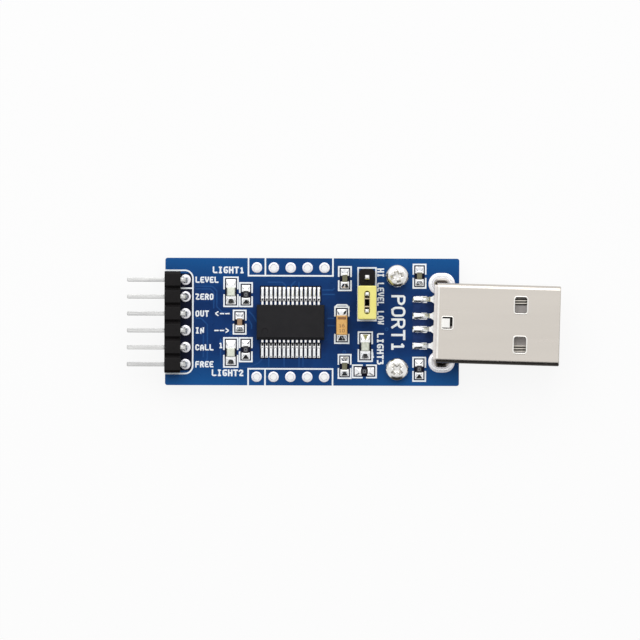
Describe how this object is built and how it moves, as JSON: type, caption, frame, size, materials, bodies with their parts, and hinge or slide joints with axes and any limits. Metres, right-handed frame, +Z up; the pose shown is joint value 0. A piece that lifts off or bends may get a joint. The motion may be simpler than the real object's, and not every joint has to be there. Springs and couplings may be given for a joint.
{
  "type": "usb to serial adapter module",
  "caption": "Bare blue circuit module with a flat metal plug at one end, a right-angle pin header at the other, a leaded controller, a jumper with its cap, chip parts and small lamps.",
  "frame": {"origin": "centre of the footprint of the whole module, on the surface that the nuts under the board stand on", "axes": "+X from the pin header to the plug, +Y to the edge with the jumper, +Z up out of the board's parts side"},
  "size_m": [0.0652, 0.0192, 0.0117],
  "materials": {
    "blue_board": "glossy solder mask over glass laminate",
    "tinned_pin": "bright tin plating",
    "tinned_lead": "satin tin plating",
    "tinned_land": "tinned copper",
    "solder": "bright solder",
    "black_moulding": "moulded, satin",
    "controller_moulding": "fine matt moulding compound",
    "pale_yellow_moulding": "smooth moulded",
    "white_moulding": "smooth moulded",
    "orange_moulding": "smooth moulded",
    "clip_metal": "tinned phosphor bronze",
    "contact_metal": "plated contact strip",
    "plug_steel": "nickel plated sheet, satin",
    "plated_screw": "nickel plated",
    "resistor_ceramic": "dark overcoat",
    "tan_ceramic": "fired ceramic",
    "grey_ceramic": "fired ceramic",
    "lamp_substrate": "pale laminate",
    "lamp_lens": "milky moulded resin",
    "white_ink": "printed ink"
  },
  "bodies": {
    "module": {"circuit_board": "blue_board", "header_pin_1": "tinned_pin", "header_pin_2": "tinned_pin", "header_pin_3": "tinned_pin", "header_pin_4": "tinned_pin", "header_pin_5": "tinned_pin", "header_pin_6": "tinned_pin", "header_body": "black_moulding", "header_solder": "solder", "jumper_pin_1": "tinned_pin", "jumper_pin_2": "tinned_pin", "jumper_pin_3": "tinned_pin", "jumper_header_body": "black_moulding", "jumper_solder": "solder", "plug_shell": "plug_steel", "plug_insulator": "white_moulding", "plug_contact_1": "contact_metal", "plug_contact_2": "contact_metal", "plug_contact_3": "contact_metal", "plug_contact_4": "contact_metal", "plug_leg_solder": "solder", "plug_lands": "tinned_land", "plug_lead_solder": "solder", "controller_body": "controller_moulding", "controller_leads_upper": "tinned_lead", "controller_leads_lower": "tinned_lead", "controller_lands": "tinned_land", "controller_solder": "solder", "resistor_1": "resistor_ceramic", "resistor_2": "resistor_ceramic", "resistor_3": "resistor_ceramic", "resistor_4": "resistor_ceramic", "ceramic_capacitor_1": "tan_ceramic", "ceramic_capacitor_2": "grey_ceramic", "ceramic_capacitor_3": "grey_ceramic", "ceramic_capacitor_4": "grey_ceramic", "resistor_end_caps": "tinned_land", "capacitor_end_caps": "tinned_land", "chip_lands": "tinned_land", "chip_solder": "solder", "transmit_led_base": "lamp_substrate", "transmit_led_lens": "lamp_lens", "receive_led_base": "lamp_substrate", "receive_led_lens": "lamp_lens", "power_led_base": "lamp_substrate", "power_led_lens": "lamp_lens", "led_terminals": "tinned_land", "tantalum_capacitor_body": "orange_moulding", "tantalum_capacitor_terminals": "tinned_lead", "screws": "plated_screw", "nuts": "plated_screw", "printed_outlines": "white_ink"},
    "jumper_cap": {"jumper_cap_shell": "pale_yellow_moulding", "jumper_cap_clip": "clip_metal"}
  },
  "joints": [
    {"name": "jumper_cap_slide", "type": "slide", "parent": "module", "child": "jumper_cap", "axis": [0, 0, 1], "range_m": [0, 0.006]}
  ]
}
